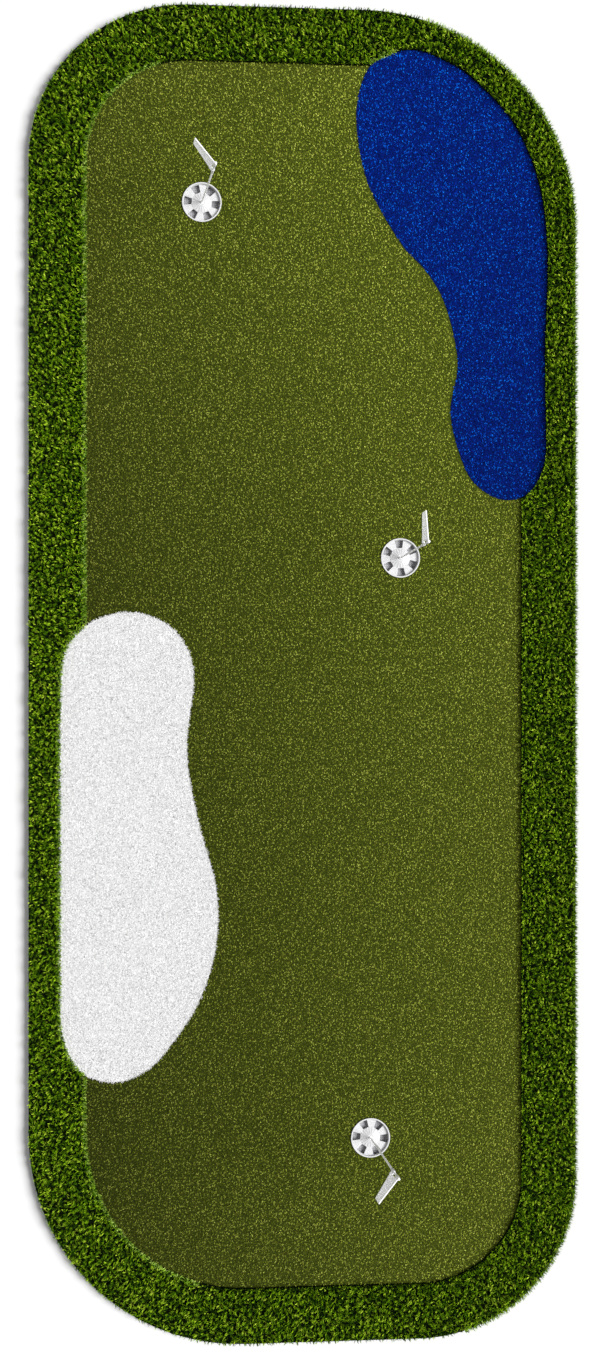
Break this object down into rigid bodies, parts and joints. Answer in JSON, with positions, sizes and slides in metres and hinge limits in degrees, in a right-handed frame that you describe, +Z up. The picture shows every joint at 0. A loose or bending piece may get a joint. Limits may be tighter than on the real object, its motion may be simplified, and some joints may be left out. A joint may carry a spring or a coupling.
{
  "type": "practice putting mat",
  "caption": "Long round-cornered putting mat of short green turf with a tall fringe, a blue pond, a white bunker, and cups with lift-out flagsticks.",
  "frame": {"origin": "on the floor, at the middle of the mat's length and width", "axes": "+Y along the mat towards the end with the pond, +X to the pond's side, +Z up"},
  "size_m": [1.51, 3.658, 0.3864],
  "materials": {
    "base_sheet": "matte",
    "foam": "matte",
    "seam_tape": "matte",
    "turf_backing": "matte",
    "fringe_turf": "matte",
    "green_turf": "matte",
    "pond_turf": "matte",
    "bunker_turf": "matte",
    "cup_plastic": "satin",
    "pole_plastic": "satin",
    "flag_plastic": "satin"
  },
  "bodies": {
    "mat": {"base_sheet": "base_sheet", "foam_pad": "foam", "seam_tape_green": "seam_tape", "seam_tape_pond": "seam_tape", "seam_tape_bunker": "seam_tape", "fringe_backing": "turf_backing", "green_backing": "turf_backing", "pond_backing": "turf_backing", "bunker_backing": "turf_backing", "fringe_pile": "fringe_turf", "green_pile": "green_turf", "pond_pile": "pond_turf", "bunker_pile": "bunker_turf"},
    "cup_1": {"cup_rim_1": "cup_plastic", "cup_floor_1": "cup_plastic", "cup_hub_1": "cup_plastic"},
    "flagstick_1": {"stick_foot_1": "pole_plastic", "pole_1": "pole_plastic", "pole_cap_1": "pole_plastic"},
    "flag_1": {"flag_1": "flag_plastic"},
    "cup_2": {"cup_rim_2": "cup_plastic", "cup_floor_2": "cup_plastic", "cup_hub_2": "cup_plastic"},
    "flagstick_2": {"stick_foot_2": "pole_plastic", "pole_2": "pole_plastic", "pole_cap_2": "pole_plastic"},
    "flag_2": {"flag_2": "flag_plastic"},
    "cup_3": {"cup_rim_3": "cup_plastic", "cup_floor_3": "cup_plastic", "cup_hub_3": "cup_plastic"},
    "flagstick_3": {"stick_foot_3": "pole_plastic", "pole_3": "pole_plastic", "pole_cap_3": "pole_plastic"},
    "flag_3": {"flag_3": "flag_plastic"}
  },
  "joints": [
    {"name": "cup_lift_1", "type": "slide", "parent": "mat", "child": "cup_1", "axis": [0, 0, 1], "range_m": [0, 0.04]},
    {"name": "flagstick_lift_1", "type": "slide", "parent": "cup_1", "child": "flagstick_1", "axis": [0.0575, -0.0143, 0.9982], "range_m": [0, 0.06]},
    {"name": "flag_swivel_1", "type": "hinge", "parent": "flagstick_1", "child": "flag_1", "pos_m": [-0.284, 1.288, 0.01275], "axis": [0.0575, -0.0143, 0.9982], "continuous": true},
    {"name": "cup_lift_2", "type": "slide", "parent": "mat", "child": "cup_2", "axis": [0, 0, 1], "range_m": [0, 0.04]},
    {"name": "flagstick_lift_2", "type": "slide", "parent": "cup_2", "child": "flagstick_2", "axis": [0.0419, 0.0419, 0.9982], "range_m": [0, 0.06]},
    {"name": "flag_swivel_2", "type": "hinge", "parent": "flagstick_2", "child": "flag_2", "pos_m": [0.262, 0.322, 0.01275], "axis": [0.0419, 0.0419, 0.9982], "continuous": true},
    {"name": "cup_lift_3", "type": "slide", "parent": "mat", "child": "cup_3", "axis": [0, 0, 1], "range_m": [0, 0.04]},
    {"name": "flagstick_lift_3", "type": "slide", "parent": "cup_3", "child": "flagstick_3", "axis": [0.058, -0.0123, 0.9982], "range_m": [0, 0.06]},
    {"name": "flag_swivel_3", "type": "hinge", "parent": "flagstick_3", "child": "flag_3", "pos_m": [0.179, -1.27, 0.01275], "axis": [0.058, -0.0123, 0.9982], "continuous": true}
  ]
}
